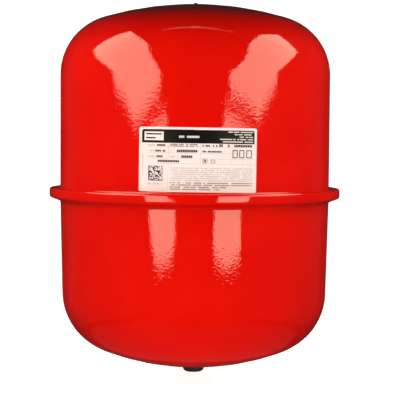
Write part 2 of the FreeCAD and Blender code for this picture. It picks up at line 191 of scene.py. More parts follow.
print("a grid of 3 x 4 points has", len(grid_quads(3, 4)), "quads, and a ring of them",
      len(grid_quads(3, 4, wrap_columns=True)))

# %% [markdown]
# ## The shells
# A drawn shell is a straight wall, a tight knuckle and a shallow crown, each tangent to the
# next. The wall of steel is the walk and the same walk moved sideways by the sheet's thickness.
# A real seam is rolled shut by a wheel in many small presses, so the clenched lip isn't quite
# even: it is moved in by up to two tenths of a millimetre, and never out of its CAD size.

# %% Where wall, knuckle, crown and recess meet
def dome_joints(height, knuckle, crown, draft):
    """Height where the wall ends and slope where the knuckle meets the crown, in degrees."""
    crown_centre = height - crown
    wall_end = crown_centre
    for _ in range(30):
        wall_radius = BODY_RADIUS - wall_end * tan(radians(draft))
        centre_radius = wall_radius - knuckle * cos(radians(draft))
        centre_height = crown_centre + sqrt((crown - knuckle) ** 2 - centre_radius ** 2)
        wall_end = centre_height + knuckle * sin(radians(draft))
    return wall_end, np.degrees(asin(centre_radius / (crown - knuckle)))


RIM_BEND, FOOT_BEND = 8.0, 5.0


def recess_steps(crown, floor_radius, depth, slope, hole, side):
    """Steps over a recess's rim, down its side and over its floor, and the edge's slope."""
    a = radians(slope)
    edge = floor_radius
    for _ in range(30):
        edge_slope = asin(edge / crown)
        fall = depth - crown * (1 - cos(edge_slope))
        fall += RIM_BEND * (cos(a) - cos(edge_slope)) - FOOT_BEND * (1 - cos(a))
        run = fall / sin(a)
        edge = floor_radius + FOOT_BEND * sin(a) + run * cos(a)
        edge += RIM_BEND * (sin(a) + sin(edge_slope))
    edge_slope = np.degrees(edge_slope)
    steps = [("bend", RIM_BEND, side * (edge_slope + slope)), ("run", run),
             ("bend", FOOT_BEND, -side * slope), ("run", floor_radius - hole)]
    return steps, edge_slope


upper_end, upper_slope = dome_joints(**UPPER)
lower_end, lower_slope = dome_joints(**LOWER)
VALVE_FLOOR, VALVE_DEPTH, VALVE_SLOPE = nut_high.x + 4.6, 20.0, 55.0
SEAT_FLOOR, SEAT_DEPTH, SEAT_SLOPE = nipple_high.x + 4.4, 9.0, 40.0
VALVE_HOLE, SEAT_HOLE = 5.75, 10.63
valve_steps, valve_edge = recess_steps(
    UPPER["crown"], VALVE_FLOOR, VALVE_DEPTH, VALVE_SLOPE, VALVE_HOLE, 1)
seat_steps, seat_edge = recess_steps(
    LOWER["crown"], SEAT_FLOOR, SEAT_DEPTH, SEAT_SLOPE, SEAT_HOLE, -1)
print("upper wall ends", round(upper_end, 1), "lower wall ends", round(lower_end, 1))

# %% Profiles of the two shells
FLANGE_BEND, FLANGE_GAP, CLENCH_GAP = 2.0, 1.2, 0.05
FLANGE_RADIUS = SEAM_RADIUS - SHEET - FLANGE_GAP
FLANGE_TOP = LIP_TOP - SHEET - CLENCH_GAP
LIP_GAP, LIP_CORNER, FACE_BOTTOM = 2.6, 2.4, -1.6
UNDER_CORNER, UNDER_SLOPE, WALL_BEND = 3.2, 20.0, 3.0

upper_steps = [
    ("run", FLANGE_RADIUS - BODY_RADIUS - FLANGE_BEND), ("bend", FLANGE_BEND, -90),
    ("run", upper_end - FLANGE_TOP - FLANGE_BEND),
    ("bend", UPPER["knuckle"], 90 - upper_slope),
    ("bend", UPPER["crown"], upper_slope - valve_edge)] + valve_steps

draft, under = radians(LOWER["draft"]), radians(UNDER_SLOPE)
corner_z = FACE_BOTTOM - UNDER_CORNER * cos(under)
corner_r = SEAM_RADIUS - UNDER_CORNER * (1 - sin(under))
under_run = (corner_r - BODY_RADIUS - tan(draft) * corner_z
             - WALL_BEND * (cos(draft) - sin(under))) / cos(under)
bend_z = corner_z - under_run * sin(under) - WALL_BEND * (cos(under) - sin(draft))
lower_steps = [
    ("run", SEAM_RADIUS - LIP_CORNER - BODY_RADIUS - LIP_GAP), ("bend", LIP_CORNER, -90),
    ("run", LIP_TOP - LIP_CORNER - FACE_BOTTOM), ("bend", UNDER_CORNER, -(90 - UNDER_SLOPE)),
    ("run", under_run), ("bend", WALL_BEND, 90 - UNDER_SLOPE - LOWER["draft"]),
    ("run", (bend_z + lower_end) / cos(draft)),
    ("bend", LOWER["knuckle"], -(90 - lower_slope - LOWER["draft"])),
    ("bend", LOWER["crown"], -(lower_slope - seat_edge))] + seat_steps
print("walks of", len(upper_steps), "and", len(lower_steps), "steps")


# %% The two shells
def sheet_outline(start, heading, steps, side):
    """Closed profile of a sheet: the walk, and back along its parallel one sheet away."""
    points, normals = walk(start, heading, steps)
    return np.concatenate([points, (points + side * SHEET * normals)[::-1]])


def clenched(radius, height, angle):
    """Small in-and-out of the rolled seam: a few dozen wheel presses round the rim."""
    out = np.clip((radius - BODY_RADIUS - 4) / (SEAM_OVERHANG - 4), 0, 1)
    low = np.clip((SEAM_Z + 1 - height) / 6, 0, 1)
    press = 0.5 + 0.5 * np.sin(58 * angle + 0.8 * np.sin(7 * angle))
    slow = 0.5 + 0.5 * np.sin(5 * angle + 1.1)
    return radius - out * (0.05 * slow + (0.06 + 0.14 * low) * press), height


upper_profile = sheet_outline((FLANGE_RADIUS, SEAM_Z + FLANGE_TOP), 180, upper_steps, 1)
lower_profile = sheet_outline((BODY_RADIUS + LIP_GAP, SEAM_Z + LIP_TOP), 0, lower_steps, -1)
upper_shell = turned("upper_shell_skin", upper_profile)
lower_shell = turned("lower_shell_skin", lower_profile[::-1], shape=clenched)
for piece, node in ((upper_shell, "upper_shell"), (lower_shell, "lower_shell")):
    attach(piece, "vessel")
    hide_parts(node)
    print(piece.name, len(piece.data.polygons), "faces")

# %% [markdown]
# ## The rating label
# A printed film is glued to the front of the upper shell. It is a rounded rectangle wrapped on
# the cylinder: across it runs the arc length and up it the height, and the whole is turned a
# little, as it was glued on. Its own UV map is in millimetres, so the print can be laid out
# like a drawing.

# %% Where the label lies
FILM, FILM_GAP = 0.18, 0.02
LABEL_LEFT, LABEL_RIGHT, LABEL_LOW, LABEL_HIGH = -56.4, 62.6, 7.6, 72.8
LABEL_CORNER, LABEL_TILT = 2.0, 0.6
left_arc = BODY_RADIUS * asin(LABEL_LEFT / BODY_RADIUS)
right_arc = BODY_RADIUS * asin(LABEL_RIGHT / BODY_RADIUS)
LABEL_W, LABEL_H = right_arc - left_arc - 0.4, LABEL_HIGH - LABEL_LOW - 0.1
print("label", round(LABEL_W, 1), "x", round(LABEL_H, 1), "mm")


# %% Grids for a thin film
def rounded_grid(width, height, corner, columns, rows):
    """Grid over a rounded rectangle: each row is as wide as the outline is at its height."""
    up = height * (1 - np.cos(np.linspace(0, pi, rows))) / 2
    inside = np.clip(np.maximum(corner - up, up - (height - corner)), 0, corner)
    half = width / 2 - corner + np.sqrt(np.maximum(corner ** 2 - inside ** 2, 0))
    across = np.linspace(-1, 1, columns)[None, :] * half[:, None]
    return across + width / 2, np.repeat(up[:, None], columns, axis=1)


def label_points(u, v, radius):
    """Place flat label points (mm from its lower left corner) on the shell."""
    tilt = radians(LABEL_TILT)
    s, t = u - LABEL_W / 2, v - LABEL_H / 2
    arc = (left_arc + right_arc) / 2 + s * cos(tilt) + t * sin(tilt)
    z = SEAM_Z + (LABEL_LOW + LABEL_HIGH) / 2 + t * cos(tilt) - s * sin(tilt)
    a = arc / BODY_RADIUS
    return np.stack([radius * np.sin(a), -radius * np.cos(a), z], -1)


def closed_sheet(name, front, back, sharp=35.0):
    """Thin solid between two matching grids, with a wall round their edge."""
    rows, columns = front.shape[:2]
    quads = grid_quads(rows, columns)
    under_quads = quads[:, ::-1] + rows * columns
    index = np.arange(rows * columns).reshape(rows, columns)
    edge = np.concatenate([index[0, :], index[1:, -1], index[-1, -2::-1], index[-2:0:-1, 0]])
    after = np.roll(edge, -1)
    wall = np.stack([after, edge, edge + rows * columns, after + rows * columns], -1)
    points = np.concatenate([front.reshape(-1, 3), back.reshape(-1, 3)])
    return new_piece(name, points, np.concatenate([quads, under_quads, wall]), sharp)


# %% The label's film and its map
label_u, label_v = rounded_grid(LABEL_W, LABEL_H, LABEL_CORNER, 121, 81)
label = closed_sheet("vessel_label_film",
                     label_points(label_u, label_v, BODY_RADIUS + FILM_GAP + FILM),
                     label_points(label_u, label_v, BODY_RADIUS + FILM_GAP))
label_map = label.data.uv_layers.new(name="label_mm")
corner_of = np.empty(len(label.data.loops), dtype=np.int32)
label.data.loops.foreach_get("vertex_index", corner_of)
flat_uv = np.stack([label_u.ravel(), label_v.ravel()], -1)
flat_uv = np.concatenate([flat_uv, flat_uv])[corner_of]
label_map.data.foreach_set("uv", flat_uv.astype(np.float32).ravel())
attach(label, "vessel")
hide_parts("vessel_label")
print(label.name, len(label.data.polygons), "faces")

# %% [markdown]
# ## The skirt and the spring, which change shape
# Two pieces can't simply ride on one body. The diaphragm's skirt hangs from the seam and its
# lower edge goes up with the crown, and the valve core's spring shortens under the pin. Both are
# drawn here at rest only.

# %% Diaphragm skirt
RUBBER, RUBBER_GAP, CROWN_INSET = 2.5, 0.5, 5.0
skirt_top = box_mm("diaphragm_skirt")[1].z - SEAM_Z
crown_slope = np.degrees(asin(sin(radians(lower_slope)) - CROWN_INSET / LOWER["crown"]))
skirt_line, skirt_side = walk(
    (BODY_RADIUS + skirt_top * tan(draft), SEAM_Z + skirt_top), -(90 + LOWER["draft"]),
    [("run", (skirt_top + lower_end) / cos(draft)),
     ("bend", LOWER["knuckle"], -(90 - lower_slope - LOWER["draft"])),
     ("bend", LOWER["crown"], -(lower_slope - crown_slope))])
outer = skirt_line - (SHEET + RUBBER_GAP) * skirt_side
skirt = turned("diaphragm_skirt_rubber",
               np.concatenate([outer, (outer - RUBBER * skirt_side)[::-1]]), 192)
skirt_edge = float((outer[-1] - RUBBER * skirt_side[-1])[1])
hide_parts("diaphragm_skirt")
max(skirt_edge, outer[-1][1]) * MM
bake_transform(skirt)
print("skirt from", round(SEAM_Z + skirt_top, 1), "to", round(skirt_edge, 1), "mm")


# %% Core spring
def coil(name, radius, wire, low, high, turns, around=12):
    """Spring of round wire between two heights, with closed ends.

    Along it t runs from 0 to 1, the angle is 2 pi turns t, and the height eases in and out,
    so that the end turns lie flat.
    """
    t = np.linspace(0, 1, int(turns * 36) + 1)
    rise = high - low - 2 * wire
    dead = 0.45 / turns
    eased = np.clip((t - dead) / (1 - 2 * dead), 0, 1)
    first = np.clip(t / dead, 0, 1) * 2.05 * wire / rise
    last = np.clip((t - 1 + dead) / dead, 0, 1) * 2.05 * wire / rise
    height = first + last + eased * (1 - 4.1 * wire / rise)
    a = 2 * pi * turns * t
    centre = np.stack([radius * np.cos(a), radius * np.sin(a), low + wire + rise * height], -1)
    out = np.stack([np.cos(a), np.sin(a), 0 * a], -1)
    along = np.gradient(centre, axis=0)
    along /= np.linalg.norm(along, axis=1, keepdims=True)
    up = np.cross(out, along)
    b = np.linspace(0, 2 * pi, around, endpoint=False)[None, :, None]
    rings = centre[:, None] + wire * (np.cos(b) * out[:, None] + np.sin(b) * up[:, None])
    quads = grid_quads(len(t), around, wrap_columns=True)
    count, j = len(t) * around, np.arange(around)
    after = (j + 1) % around
    caps = [np.stack([0 * j + count, after, j, j], -1),
            np.stack([0 * j + count + 1, j, after, after], -1)]
    caps[1][:, 1:] += count - around
    points = np.concatenate([rings.reshape(-1, 3), centre[[0, -1]]])
    return new_piece(name, points, np.concatenate([quads, *caps]), 60)


SPRING_WIRE, SPRING_TURNS = 0.11, 5
spring_low, spring_high = box_mm("core_spring")
spring = coil("core_spring_wire", spring_high.x - SPRING_WIRE, SPRING_WIRE, spring_low.z,
              spring_high.z, SPRING_TURNS)
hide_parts("core_spring")
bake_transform(spring)
print("spring", round(spring_high.z - spring_low.z, 2), "mm long at rest")

# %% [markdown]
# ## Shader maths in Python
# One small class wraps a socket, so that a pattern can be written as an expression. Each
# operator adds its Math node. Any other node comes from one method, which sets the node's
# settings first and then its inputs.

# %% Sockets as numbers
class Signal:
    """A node socket that takes part in arithmetic."""

    def __init__(self, tree, socket):
        self.tree, self.socket = tree, socket

    def node(self, kind, settings=None, out=0, **inputs):
        return add_node(self.tree, kind, settings, out, **inputs)

    def math(self, operation, *others):
        node = self.tree.nodes.new("ShaderNodeMath")
        node.operation = operation
        for slot, value in zip(node.inputs, (self, *others)):
            plug(self.tree, slot, value)
        return Signal(self.tree, node.outputs[0])

    def __add__(self, other):
        return self.math("ADD", other)

    def __sub__(self, other):
        return self.math("SUBTRACT", other)

    def __mul__(self, other):
        return self.math("MULTIPLY", other)

    def __truediv__(self, other):
        return self.math("DIVIDE", other)

    def __gt__(self, other):
        return self.math("GREATER_THAN", other)

    def __lt__(self, other):
        return self.math("LESS_THAN", other)

    def __rsub__(self, other):
        return (self * -1) + other

    __radd__, __rmul__ = __add__, __mul__


def plug(tree, slot, value):
    if isinstance(value, Signal):
        tree.links.new(value.socket, slot)
    else:
        slot.default_value = value


def add_node(tree, kind, settings=None, out=0, **inputs):
    """Any node: settings first, then inputs by name, with _ for a space."""
    node = tree.nodes.new("ShaderNode" + kind)
    for key, value in (settings or {}).items():
        setattr(node, key, value)
    for key, value in inputs.items():
        name = key.replace("_", " ")
        slot = node.inputs[int(name[5:])] if name.startswith("slot ") else node.inputs[name]
        plug(tree, slot, value)
    return Signal(tree, node.outputs[out])


class Finish:
    """A material with one Principled shader, and short calls for what feeds it."""

    def __init__(self, name, colour, roughness, **fixed):
        self.material = bpy.data.materials.new(name)
        self.material.use_nodes = True
        self.tree = self.material.node_tree
        self.shader = self.tree.nodes["Principled BSDF"]
        self.set("Base Color", (*colour, 1.0))
        self.set("Roughness", roughness)
        for key, value in fixed.items():
            self.set(key.replace("_", " "), value)

    def set(self, name, value):
        plug(self.tree, self.shader.inputs[name], value)

    def node(self, kind, settings=None, out=0, **inputs):
        return add_node(self.tree, kind, settings, out, **inputs)

    def place(self):
        return self.node("TexCoord", out=3)

    def noise(self, per_metre, detail=2.0, roughness=0.5, vector=None, stretch=None):
        """Noise from 0 to 1 with about per_metre waves in a metre."""
        vector = vector or self.place()
        if stretch:
            vector = self.node("Mapping", Vector=vector, Scale=stretch)
        return self.node("TexNoise", {"noise_dimensions": "3D"}, Vector=vector,
                         Scale=per_metre, Detail=detail, Roughness=roughness)

    def mix(self, factor, a, b):
        """Colour a where factor is 0 and b where it is 1."""
        a = a if isinstance(a, Signal) else (*a, 1.0)
        b = b if isinstance(b, Signal) else (*b, 1.0)
        return self.node("Mix", {"data_type": "RGBA"}, out=2, slot_0=factor, slot_6=a, slot_7=b)

    def spread(self, value, low, high, to_low=0.0, to_high=1.0):
        """Map low..high to to_low..to_high, held at the ends."""
        return self.node("MapRange", {"clamp": True}, Value=value, From_Min=low, From_Max=high,
                         To_Min=to_low, To_Max=to_high)

    def bump(self, height, depth, normal=None):
        """Bump of that depth in metres, over another bump if one is given."""
        extra = {"Normal": normal} if normal else {}
        bump = self.node("Bump", Height=height, Strength=1.0, Distance=depth, **extra)
        self.set("Normal", bump)
        return bump


# %% [markdown]
# ## The red coating
# Stoved powder coating is thick and glossy, but it isn't flat like glass: it dries with a fine
# dimpled skin, called orange peel, that breaks up the edges of what it mirrors. Two sizes of
# noise make it, a fine one for the dimples and a slower one for the way the coat flows. The
# colour is a saturated red that turns deeper where the coat is thick.

# %% Red coat
def red_coat(name, seed, tone=1.0):
    coat = Finish(name, (0.58 * tone, 0.0033, 0.0008), 0.025, IOR=1.5)
    place = coat.node("Mapping", Vector=coat.place(), Location=(seed, seed * 0.7, 0))
    slow = coat.noise(22, 2, 0.5, vector=place)
    deep = coat.mix(coat.spread(slow, 0.3, 0.7), (0.56 * tone, 0.0026, 0.0006),
                    (0.60 * tone, 0.0040, 0.0010))
    coat.set("Base Color", deep)
    flow = coat.bump(coat.noise(110, 2, 0.5, vector=place), 0.000015)
    coat.bump(coat.noise(430, 1, 0.5, vector=place), 0.000055, flow)
    coat.set("Roughness", coat.spread(slow, 0.3, 0.7, 0.02, 0.03))
    return coat.material


def dress(piece, material):
    piece.data.materials.clear()
    piece.data.materials.append(material)


dress(upper_shell, red_coat("red_coat_upper", 0.0))
dress(lower_shell, red_coat("red_coat_lower", 3.0, 0.97))
print("coated", upper_shell.name, "and", lower_shell.name)

# %% [markdown]
# ## The label's print
# No words are printed here: blocks of little bars stand for lines of print, and a random block
# of squares for a machine-readable code. Each block is a mask in the label's own millimetres,
# so an expression such as inside * stripes * words places it, and one Mix puts the ink on.

# %% Masks in millimetres
class Print:
    """Ink masks on the label's UV map, in millimetres from its lower left corner."""

    def __init__(self, finish):
        self.finish = finish
        uv = finish.node("UVMap", {"uv_map": "label_mm"})
        parts = finish.tree.nodes.new("ShaderNodeSeparateXYZ")
        plug(finish.tree, parts.inputs[0], uv)
        self.u, self.v = Signal(finish.tree, parts.outputs[0]), Signal(finish.tree, parts.outputs[1])

    def rect(self, u0, v0, u1, v1):
        return (self.u > u0) * (self.u < u1) * (self.v > v0) * (self.v < v1)

    def frame(self, u0, v0, u1, v1, line):
        return self.rect(u0, v0, u1, v1) - self.rect(u0 + line, v0 + line, u1 - line, v1 - line)

    def dice(self, x, y, seed):
        """A steady random number for each whole x and y."""
        cell = self.finish.node("CombineXYZ", X=x.math("FLOOR"), Y=y.math("FLOOR"), Z=seed)
        return self.finish.node("TexWhiteNoise", {"noise_dimensions": "3D"}, Vector=cell)

    def lines(self, u0, v0, u1, pitch, rows, height, letter, seed, ends=()):
        """Rows of bars like greeked print, the lowest at v0, with gaps between words."""
        row = (self.v - v0) / pitch
        stripe = (row.math("FRACT") < height / pitch) * self.rect(u0, v0, u1, v0 + rows * pitch)
        column = (self.u - u0) / letter
        letters = (column.math("FRACT") < 0.84) * (self.dice(column, row, seed) > 0.08)
        words = self.dice(column / 1.7, row, seed + 1) > 0.10
        ink = stripe * letters * words
        for number, end in ends:
            late = (self.u > end) * (row.math("FLOOR").math("COMPARE", number, 0.5))
            ink = ink * (1 - late)
        return ink

    def code(self, u0, v0, size, cells, seed):
        """A block of random squares with a solid edge on two sides."""
        step = size / cells
        x, y = (self.u - u0) / step, (self.v - v0) / step
        solid = ((x < 1) + (y < 1)).math("MINIMUM", 1)
        ticks = ((x > cells - 1) * (y.math("MODULO", 2) < 1)
                 + (y > cells - 1) * (x.math("MODULO", 2) < 1)).math("MINIMUM", 1)
        middle = (x > 1) * (y > 1) * (x < cells - 1) * (y < cells - 1)
        random = (self.dice(x, y, seed) > 0.5) * middle
        return (solid + ticks + random).math("MINIMUM", 1) * self.rect(u0, v0, u0 + size, v0 + size)

    def disc(self, u0, v0, radius):
        x, y = self.u - u0, self.v - v0
        return (x * x + y * y) < radius * radius


def either(*masks):
    total = masks[0]
    for mask in masks[1:]:
        total = total.math("MAXIMUM", mask)
    return total


# %% The printed film
def label_film():
    film = Finish("printed_film", (0.70, 0.60, 0.64), 0.33, Specular_IOR_Level=0.1)
    ink = Print(film)
    band_low, band_high = 49.1, 62.7
    band_corner = 2.2
    left, right = 2.9, LABEL_W - 2.6
    band = ink.rect(left, band_low, right, band_high - band_corner)
    band = either(band, ink.rect(left + band_corner, band_low, right - band_corner, band_high),
                  ink.disc(left + band_corner, band_high - band_corner, band_corner),
                  ink.disc(right - band_corner, band_high - band_corner, band_corner))
    badge = either(ink.rect(5.6, 51.6, 25.8, 60.4) - ink.rect(7.4, 57.3, 24.0, 58.7)
                   - ink.rect(7.4, 53.4, 17.5, 54.8))
    address = [ink.lines(start, 50.6 + i * 2.45, 117.8, 2.45, 1, 1.15, 0.95, 40 + i)
               for i, start in enumerate((85.7, 82.9, 103.0, 98.0, 91.3))]
    white = either(badge, ink.lines(41.5, 54.5, 62.0, 3.2, 1, 2.2, 1.55, 11), *address)
    thin = 0.28
    rules = either(*[ink.rect(9.0, v, 119.0, v + thin) for v in (45.2, 39.2, 33.6, 28.4)],
                   ink.rect(30.7, 33.6, 30.7 + thin, 48.6), ink.rect(30.7, 2.2, 30.7 + thin, 28.4),
                   ink.rect(63.4, 28.4, 63.4 + thin, 48.6),
                   ink.rect(94.2, 28.4, 94.2 + thin, 39.2),
                   ink.rect(106.3, 28.4, 106.3 + thin, 33.6))
    bold = either(
        ink.lines(19.0, 45.9, 27.6, 3, 1, 1.9, 1.5, 1), ink.lines(17.5, 40.2, 27.6, 3, 1, 1.9, 1.5, 2),
        ink.lines(18.5, 34.6, 25.0, 3, 1, 1.9, 1.5, 3), ink.lines(20.0, 29.8, 43.5, 3, 1, 2.2, 1.7, 4),
        ink.lines(39.5, 40.0, 60.2, 4, 1, 2.6, 1.9, 5), ink.lines(44.0, 34.5, 55.4, 4, 1, 2.4, 1.9, 6),
        ink.lines(82.0, 45.9, 87.0, 4, 1, 2.7, 2.2, 7), ink.lines(91.0, 45.9, 118.0, 4, 1, 2.4, 1.9, 8),
        ink.lines(65.2, 45.9, 80.5, 4, 1, 1.9, 1.5, 9), ink.lines(65.2, 40.2, 84.8, 4, 1, 1.7, 1.3, 10),
        ink.lines(32.6, 45.8, 60.3, 1.6, 2, 0.9, 0.9, 12))
    marks = either(ink.frame(95.9, 34.9, 101.3, 43.0, 0.9), ink.frame(103.0, 34.9, 108.4, 43.0, 0.9),
                   ink.frame(110.6, 34.9, 116.6, 43.0, 0.9),
                   ink.disc(67.9, 31.6, 2.6) - ink.disc(67.9, 31.6, 2.1),
                   ink.rect(66.9, 30.6, 68.9, 32.6), ink.frame(73.8, 29.6, 78.0, 33.0, 0.5))
    foot = ink.lines(32.8, 2.3, 118.0, 2.15, 4, 1.15, 1.05, 20, ends=((0, 83.0), (1, 90.0)))
    pale = either(
        ink.lines(33.2, 11.4, 118.0, 2.05, 7, 0.95, 0.85, 30),
        ink.lines(9.3, 40.4, 17.0, 5.8, 2, 1.2, 1.0, 31), ink.lines(9.3, 35.0, 17.0, 5.8, 1, 1.2, 1.0, 32),
        ink.lines(32.6, 35.0, 42.0, 4, 1, 1.3, 1.1, 33), ink.lines(9.6, 7.2, 24.4, 4, 1, 1.4, 1.2, 34),
        ink.rect(3.4, 16.0, 4.6, 38.0) * ((ink.v / 1.1).math("FRACT") < 0.7))
    code = ink.code(10.2, 11.0, 15.2, 18, 50)
    dark = either(band - white, bold, marks, code)
    paper = film.mix(film.spread(film.noise(35, 2), 0.3, 0.7), (0.68, 0.57, 0.62), (0.73, 0.62, 0.68))
    colour = film.mix(rules * 0.55, paper, (0.16, 0.13, 0.12))
    colour = film.mix(pale * 0.5, colour, (0.13, 0.11, 0.10))
    colour = film.mix(foot * 0.85, colour, (0.05, 0.04, 0.04))
    colour = film.mix(dark, colour, (0.006, 0.005, 0.005))
    film.set("Base Color", colour)
    film.bump(film.noise(160, 2), 0.00002)
    film.set("Roughness", film.spread(dark, 0, 1, 0.36, 0.30))
    return film.material


dress(label, label_film())
print("printed", label.name, "with", len(label.data.materials[0].node_tree.nodes), "nodes")

# %% [markdown]
# ## Metal, rubber and moulded plastic
# The CAD pieces that are already the right shape keep it, and get a finish. Zinc and nickel
# have fine streaks from the bar stock they were turned from, rubber is dull with a bloom, and
# polythene has a soft, slightly waxy sheen.

# %% Finishes for the small pieces
def turned_metal(name, colour, roughness, streak=0.25):
    metal = Finish(name, colour, roughness, Metallic=1.0)
    lines = metal.noise(260, 3, 0.6, stretch=(1, 1, 14))
    cloud = metal.noise(90, 2, 0.5)
    dark = tuple(c * 0.72 for c in colour)
    metal.set("Base Color", metal.mix(metal.spread(cloud, 0.3, 0.7) * 0.6, colour, dark))
    metal.set("Roughness", metal.spread(lines, 0.25, 0.75, roughness - streak / 2,
                                        roughness + streak / 2))
    metal.bump(lines, 0.000006)
    return metal.material


def soft_black(name, colour, roughness, grain, depth):
    black = Finish(name, colour, roughness, IOR=1.5)
    spots = black.noise(grain, 3, 0.6)
    light = tuple(c * 2.2 + 0.004 for c in colour)
    black.set("Base Color", black.mix(black.spread(black.noise(60, 2), 0.35, 0.75), colour, light))
    black.set("Roughness", black.spread(spots, 0.3, 0.7, roughness - 0.07, roughness + 0.07))
    black.bump(spots, depth)
    return black.material


def plain_plastic(name, colour, roughness):
    plastic = Finish(name, colour, roughness)
    cloud = plastic.noise(400, 2)
    plastic.set("Base Color", plastic.mix(plastic.spread(cloud, 0.3, 0.7), colour,
                                          tuple(c * 0.8 for c in colour)))
    plastic.bump(cloud, 0.00001)
    return plastic.material


finishes = {
    "zinc_steel": turned_metal("zinc_plate", (0.62, 0.62, 0.58), 0.34),
    "spring_steel": turned_metal("spring_wire", (0.50, 0.50, 0.49), 0.30),
    "plated_brass": turned_metal("nickel_plate", (0.66, 0.63, 0.56), 0.27),
    "bare_brass": turned_metal("bare_brass", (0.72, 0.50, 0.20), 0.32),
    "black_rubber": soft_black("diaphragm_rubber", (0.016, 0.016, 0.017), 0.62, 500, 0.00004),
    "cap_rubber": soft_black("seal_rubber", (0.02, 0.02, 0.02), 0.6, 900, 0.00001),
    "black_polythene": soft_black("black_polythene", (0.008, 0.008, 0.009), 0.36, 700, 0.00002),
    "black_nylon": soft_black("black_nylon", (0.010, 0.010, 0.011), 0.30, 900, 0.00001),
    "seal_plastic": plain_plastic("core_seal_plastic", (0.50, 0.04, 0.03), 0.45),
    "red_coated_weld": red_coat("red_coat_weld", 5.0, 0.9),
}
dress(skirt, finishes["black_rubber"])
dress(spring, finishes["spring_steel"])
slot_of = {part["node"]: part["material_slot"] for part in frame["record"]["subparts"]}
for name, node in frame["nodes"].items():
    if slot_of[name] in finishes:
        dress(node, finishes[slot_of[name]])
print("finished nodes:", sum(slot in finishes for slot in slot_of.values()))

# %% [markdown]
# ## The sweep
# The vessel hangs before white paper that glows a little by itself, so that the paper stays pure
# white whatever lights the vessel. It is kept out of mirror images and out of the bounced light,
# so it has no say in how the coat looks. The floor lies low enough for the protector to be pulled
# off above it, and a second wall stands behind the camera for the views from the back.

# %% Sweep
PROTECTOR_PULL = 20.0
protector_low = box_mm("thread_protector")[0]
FLOOR_Z = protector_low.z - PROTECTOR_PULL - 1.0
SWEEP_GLOW = 0.8


def paper_sheet(name, line_y, line_z):
    """Wide white sheet that follows a line of y and z, in metres, with its own faint glow."""
    across = np.linspace(-3.5, 3.5, 9)
    points = np.stack(np.broadcast_arrays(
        across[None, :] / MM, line_y[:, None] / MM, line_z[:, None] / MM + FLOOR_Z), -1)
    sheet = new_piece(name, points.reshape(-1, 3), grid_quads(len(line_y), 9), 180)
    paper = Finish(name + "_paper", (0.93, 0.93, 0.93), 0.9, Specular_IOR_Level=0.0,
                   Emission_Strength=SWEEP_GLOW)
    paper.set("Base Color", paper.mix(paper.noise(3, 2) * 0.3, (0.93, 0.93, 0.93),
                                      (0.90, 0.90, 0.90)))
    paper.set("Emission Color", (1.0, 1.0, 1.0, 1.0))
    dress(sheet, paper.material)
    sheet.visible_glossy = sheet.visible_diffuse = False
    return sheet


NEAR_END, BEND_START, BEND_DEPTH, BEND_HEIGHT, WALL_TOP = -3.0, 1.1, 0.8, 0.8, 3.2
sweep_turn = np.linspace(0, pi / 2, 16)
paper_sheet("studio_floor", np.linspace(NEAR_END, 0.5, 24), np.zeros(24))
paper_sheet("studio_wall",
            np.concatenate([[0.5], BEND_START + BEND_DEPTH * np.sin(sweep_turn),
                            [BEND_START + BEND_DEPTH]]),
            np.concatenate([[0.0], BEND_HEIGHT * (1 - np.cos(sweep_turn)), [WALL_TOP]]))
front_wall = paper_sheet("studio_front_wall", np.full(12, NEAR_END), np.linspace(0, WALL_TOP, 12))
front_wall.visible_shadow = False
print("floor at", round(FLOOR_Z, 2), "mm")

# %% [markdown]
# ## The panels
# A glossy coat shows its lights as pale patches, so a light's outline matters as much as its
# strength. An area light is only a rectangle or a disc, and these patches are bent and cut off
# at a slant, so each panel is a glowing mesh. It is set out by the directions of its corners as
# the vessel sees them. Two large panels lean in from the front left and right, a low one under
# each gives the patches below the seam, and a thin strip overhead gives the arc on the crown.

# %% Panels
MIDDLE = Vector((0.0, 0.0, SEAM_Z * MM))
PANEL_DISTANCE = 1.4
PANEL_BRIGHTNESS, CARD_BRIGHTNESS, STRIP_BRIGHTNESS = 5.2, 0.04, 1.5
PANEL_COLOUR = (1, 0.98, 0.74, 1)


def toward(bearing, rise):
    """Point at the panels' distance, bearing degrees right of the front and rise degrees up."""
    a, e = radians(bearing), radians(rise)
    return MIDDLE + PANEL_DISTANCE * Vector((sin(a) * cos(e), -cos(a) * cos(e), sin(e)))


def light_panel(name, corners, brightness):
    """Glowing sheet whose corners are pairs of bearing and rise from the vessel's middle."""
    points = np.array([list(toward(*corner)) for corner in corners]) / MM
    centre = points.mean(axis=0, keepdims=True)
    number = len(corners)
    fan = np.array([[0, i + 1, (i + 1) % number + 1, (i + 1) % number + 1]
                    for i in range(number)])
    panel = new_piece(name, np.concatenate([centre, points]), fan, 180)
    glow = Finish(name + "_cloth", (0, 0, 0), 1.0, Emission_Strength=brightness)
    glow.set("Emission Color", PANEL_COLOUR)
    dress(panel, glow.material)
    panel.visible_camera = False


